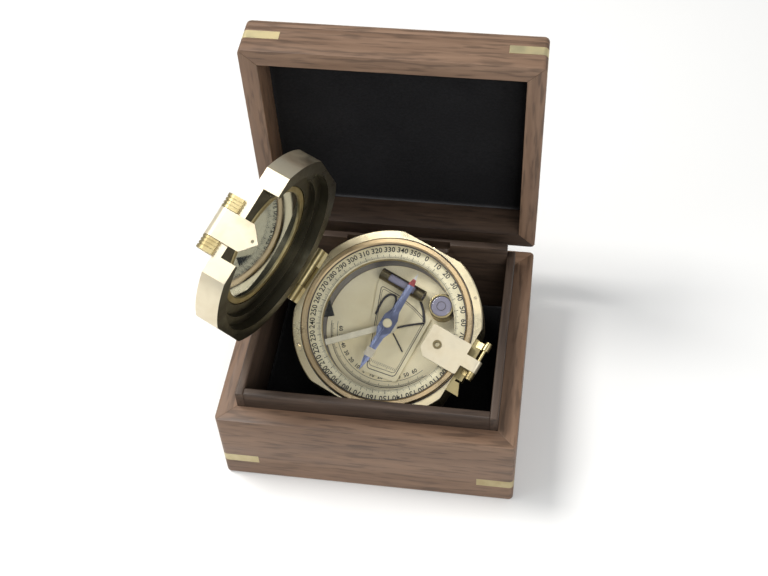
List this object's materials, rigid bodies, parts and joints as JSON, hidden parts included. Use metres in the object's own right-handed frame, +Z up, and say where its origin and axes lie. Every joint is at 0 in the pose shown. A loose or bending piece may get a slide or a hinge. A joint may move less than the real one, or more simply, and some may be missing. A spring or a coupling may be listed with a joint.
{
  "type": "pocket transit in hinged case",
  "caption": "Brass pocket transit with mirror cover, folding sights, clinometer levels and needle, leaning in a hinged hardwood case",
  "frame": {"origin": "centre of the underside of the case", "axes": "+Z up, +Y to the back, where the case's hinges are, +X to the right seen from the front"},
  "size_m": [0.1267, 0.1293, 0.1464],
  "materials": {
    "case_wood": "oiled rosewood",
    "liner_wood": "dark stained rosewood",
    "velvet": "black velvet",
    "strip_brass": "satin, let in flush",
    "hinge_brass": "satin",
    "polished_brass": "polished and lacquered",
    "bezel_brass": "warm turned brass",
    "crystal_glass": "clear",
    "dial_brass": "pale engraved brass",
    "ring_enamel": "ivory enamel, graduated",
    "level_metal": "dark satin",
    "vial_glass": "spirit level glass",
    "blued_steel": "blued",
    "jewel": "polished",
    "copper_wire": "wound wire",
    "mirror_glass": "silvered"
  },
  "bodies": {
    "case_base": {"base_front_board": "case_wood", "base_back_board": "case_wood", "base_left_board": "case_wood", "base_right_board": "case_wood", "base_bottom_board": "case_wood", "base_corner_strips": "strip_brass", "liner_front_board": "liner_wood", "liner_back_board": "liner_wood", "liner_left_board": "liner_wood", "liner_right_board": "liner_wood", "floor_pad": "velvet", "base_hinge_leaves": "hinge_brass", "base_hinge_screws": "hinge_brass", "case_hinge_pins": "hinge_brass"},
    "case_lid": {"lid_front_board": "case_wood", "lid_back_board": "case_wood", "lid_left_board": "case_wood", "lid_right_board": "case_wood", "lid_top_board": "case_wood", "lid_corner_strips": "strip_brass", "lid_lining": "velvet", "lid_hinge_leaves": "hinge_brass", "lid_hinge_screws": "hinge_brass"},
    "compass": {"compass_body": "polished_brass", "bezel_ring": "bezel_brass", "crystal": "crystal_glass", "crystal_retainer": "dial_brass", "dial_plate": "dial_brass", "round_level_housing": "level_metal", "round_level_vial": "vial_glass", "rim_screws": "polished_brass", "lifter_pivot_pin": "dial_brass", "sight_hinge_leaf": "polished_brass", "sight_hinge_pin": "polished_brass", "cover_hinge_leaf": "polished_brass", "cover_hinge_pin": "polished_brass"},
    "azimuth_ring": {"azimuth_ring": "ring_enamel"},
    "azimuth_pinion": {"azimuth_pinion": "polished_brass"},
    "clinometer": {"clinometer_plate": "dial_brass", "clinometer_shaft": "dial_brass", "long_level_holder": "level_metal", "long_level_vial": "vial_glass", "clinometer_lever": "polished_brass"},
    "needle": {"needle_blade": "blued_steel", "needle_cap": "dial_brass", "needle_jewel": "jewel", "needle_balance_wire": "copper_wire"},
    "lift_pin": {"lift_pin": "polished_brass"},
    "needle_lifter": {"needle_lifter": "dial_brass"},
    "compass_cover": {"cover_shell": "polished_brass", "cover_knuckle": "polished_brass", "mirror": "mirror_glass", "mirror_ring": "polished_brass", "front_sight_lugs": "polished_brass", "front_sight_pin": "polished_brass"},
    "front_sight": {"front_sight_leaf": "polished_brass"},
    "rear_sight": {"sight_arm": "polished_brass", "sight_eyelet": "polished_brass"}
  },
  "joints": [
    {"name": "case_lid_swing", "type": "hinge", "parent": "case_base", "child": "case_lid", "pos_m": [0, 0.0547, 0.0383], "axis": [-1, 0, 0], "range_deg": [-20, 8]},
    {"name": "compass_lift", "type": "slide", "parent": "case_base", "child": "compass", "axis": [0, 0, 1], "range_m": [0, 0.06]},
    {"name": "azimuth_turn", "type": "hinge", "parent": "compass", "child": "azimuth_ring", "pos_m": [0.00258, 0.00059, 0.04555], "axis": [-0.0489, -0.4268, 0.903], "continuous": true},
    {"name": "azimuth_screw", "type": "hinge", "parent": "compass", "child": "azimuth_pinion", "pos_m": [0.01631, 0.02793, 0.05401], "axis": [0.43, 0.807, 0.4047], "continuous": true},
    {"name": "clinometer_turn", "type": "hinge", "parent": "compass", "child": "clinometer", "pos_m": [0.00305, 0.00477, 0.0367], "axis": [-0.0489, -0.4268, 0.903], "range_deg": [-4, 70]},
    {"name": "needle_turn", "type": "hinge", "parent": "compass", "child": "needle", "pos_m": [0.00264, 0.00118, 0.04428], "axis": [-0.0489, -0.4268, 0.903], "continuous": true},
    {"name": "lift_pin_press", "type": "slide", "parent": "compass", "child": "lift_pin", "axis": [0.0489, 0.4268, -0.903], "range_m": [0, 0.0005], "stiffness_N_per_m": 200, "springref_m": -0.001},
    {"name": "lifter_rock", "type": "hinge", "parent": "compass", "child": "needle_lifter", "pos_m": [-0.02683, -0.00612, 0.03514], "axis": [0.3334, -0.8592, -0.3881], "range_deg": [0, 4]},
    {"name": "cover_swing", "type": "hinge", "parent": "compass", "child": "compass_cover", "pos_m": [-0.03476, 0.01569, 0.0551], "axis": [-0.43, -0.807, -0.4047], "range_deg": [-64, 20]},
    {"name": "front_sight_fold", "type": "hinge", "parent": "compass_cover", "child": "front_sight", "pos_m": [-0.05495, -0.01855, 0.1208], "axis": [-0.4277, -0.7832, -0.4513], "range_deg": [0, 180]},
    {"name": "sight_arm_fold", "type": "hinge", "parent": "compass", "child": "rear_sight", "pos_m": [0.04215, -0.01713, 0.04352], "axis": [0.43, 0.807, 0.4047], "range_deg": [0, 115]}
  ],
  "couplings": [
    {"joint": "azimuth_screw", "follows": "azimuth_turn", "ratio": -14},
    {"joint": "lifter_rock", "follows": "lift_pin_press", "rad_per_m": 131.58}
  ]
}
